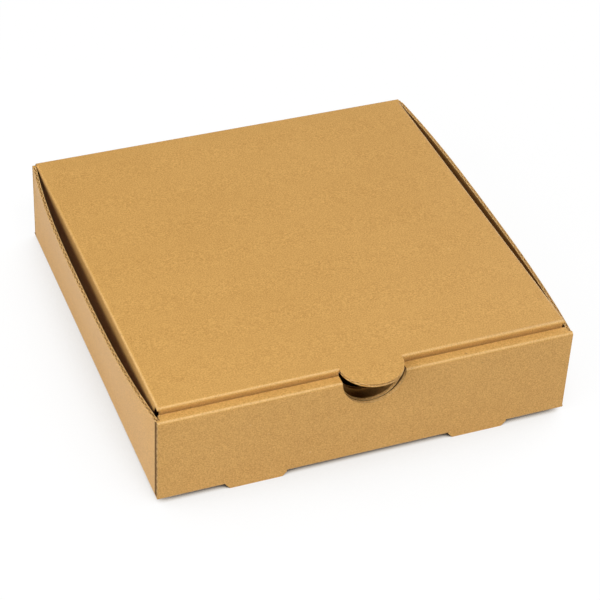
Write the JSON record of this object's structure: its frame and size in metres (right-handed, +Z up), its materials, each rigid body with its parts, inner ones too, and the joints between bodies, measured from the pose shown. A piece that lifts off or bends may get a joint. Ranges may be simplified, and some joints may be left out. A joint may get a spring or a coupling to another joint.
{
  "type": "pizza box",
  "caption": "Small kraft corrugated pizza box: folded tray with rolled-over locking front wall and thumb notch, and a hinged tuck-in lid with a half-moon tab.",
  "frame": {"origin": "centre of the overall footprint, bulged side walls and lid tab included, at the bottom of the front feet", "axes": "+Z up through the lid, +Y from the front wall with the thumb notch towards the rear crease, +X to the right seen from the front"},
  "size_m": [0.1858, 0.1904, 0.0465],
  "materials": {
    "kraft_tray": "uncoated kraft liner, matte",
    "kraft_lid": "uncoated kraft liner, matte"
  },
  "bodies": {
    "tray": {"tray": "kraft_tray"},
    "lid": {"lid": "kraft_lid"}
  },
  "joints": [
    {"name": "lid_hinge", "type": "hinge", "parent": "tray", "child": "lid", "pos_m": [0, 0.09489, 0.04179], "axis": [-1, 0, 0], "range_deg": [0, 180]}
  ]
}
